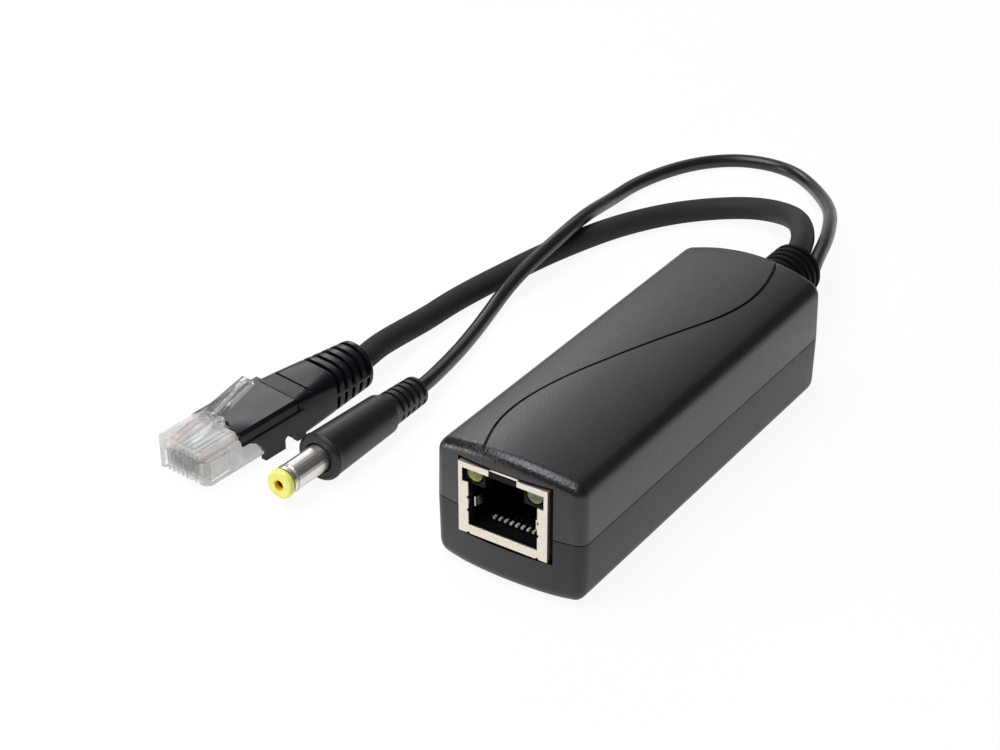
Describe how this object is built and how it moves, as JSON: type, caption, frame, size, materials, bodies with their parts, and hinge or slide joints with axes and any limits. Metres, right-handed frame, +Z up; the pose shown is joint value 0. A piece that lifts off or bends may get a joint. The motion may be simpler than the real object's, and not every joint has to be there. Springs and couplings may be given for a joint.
{
  "type": "poe splitter",
  "caption": "In-line splitter that takes power and data from one network cable and gives them out on a data lead and a DC lead.",
  "frame": {"origin": "centre of the housing's flat base, on the surface it stands on", "axes": "+Z up; +Y along the housing from the jack end to the cable boot end; +X to the right seen from the jack end, away from the leads"},
  "size_m": [0.0783, 0.1576, 0.0233],
  "materials": {
    "upper_shell": "finely textured satin black moulding",
    "lower_shell": "finely textured satin black moulding",
    "circuit_board": "green board",
    "jack_shield": "nickel-plated sheet",
    "jack_insert": "black moulding",
    "led_amber": "yellow-green lens",
    "led_green": "green lens",
    "jack_contact_1": "gold-plated spring",
    "jack_contact_2": "gold-plated spring",
    "jack_contact_3": "gold-plated spring",
    "jack_contact_4": "gold-plated spring",
    "jack_contact_5": "gold-plated spring",
    "jack_contact_6": "gold-plated spring",
    "jack_contact_7": "gold-plated spring",
    "jack_contact_8": "gold-plated spring",
    "ground_spring_left": "nickel-plated leaf",
    "ground_spring_right": "nickel-plated leaf",
    "cable_boot": "matt black",
    "data_cable": "black jacket",
    "power_cord": "black jacket",
    "plug_body": "clear polycarbonate",
    "plug_contact_1": "gold-plated blade",
    "plug_contact_2": "gold-plated blade",
    "plug_contact_3": "gold-plated blade",
    "plug_contact_4": "gold-plated blade",
    "plug_contact_5": "gold-plated blade",
    "plug_contact_6": "gold-plated blade",
    "plug_contact_7": "gold-plated blade",
    "plug_contact_8": "gold-plated blade",
    "plug_boot": "black moulding",
    "dc_plug_body": "black overmould",
    "dc_barrel": "nickel plate",
    "dc_insulator": "yellow moulding",
    "dc_inner_contact": "spring bronze",
    "data_transformer": "black package",
    "bridge_rectifier_1": "black package",
    "bridge_rectifier_2": "black package",
    "pd_controller": "black package",
    "output_diode": "black package",
    "output_inductor": "pressed ferrite powder",
    "power_transformer_core": "ferrite",
    "power_transformer_winding": "taped winding",
    "input_capacitor": "sleeved can",
    "output_capacitor": "sleeved can"
  },
  "bodies": {
    "root": {"upper_shell": "upper_shell", "lower_shell": "lower_shell", "circuit_board": "circuit_board", "jack_shield": "jack_shield", "jack_insert": "jack_insert", "led_amber": "led_amber", "led_green": "led_green", "jack_contact_1": "jack_contact_1", "jack_contact_2": "jack_contact_2", "jack_contact_3": "jack_contact_3", "jack_contact_4": "jack_contact_4", "jack_contact_5": "jack_contact_5", "jack_contact_6": "jack_contact_6", "jack_contact_7": "jack_contact_7", "jack_contact_8": "jack_contact_8", "ground_spring_left": "ground_spring_left", "ground_spring_right": "ground_spring_right", "cable_boot": "cable_boot", "data_cable": "data_cable", "power_cord": "power_cord", "plug_body": "plug_body", "plug_contact_1": "plug_contact_1", "plug_contact_2": "plug_contact_2", "plug_contact_3": "plug_contact_3", "plug_contact_4": "plug_contact_4", "plug_contact_5": "plug_contact_5", "plug_contact_6": "plug_contact_6", "plug_contact_7": "plug_contact_7", "plug_contact_8": "plug_contact_8", "plug_boot": "plug_boot", "dc_plug_body": "dc_plug_body", "dc_barrel": "dc_barrel", "dc_insulator": "dc_insulator", "dc_inner_contact": "dc_inner_contact", "data_transformer": "data_transformer", "bridge_rectifier_1": "bridge_rectifier_1", "bridge_rectifier_2": "bridge_rectifier_2", "pd_controller": "pd_controller", "output_diode": "output_diode", "output_inductor": "output_inductor", "power_transformer_core": "power_transformer_core", "power_transformer_winding": "power_transformer_winding", "input_capacitor": "input_capacitor", "output_capacitor": "output_capacitor"}
  },
  "joints": []
}
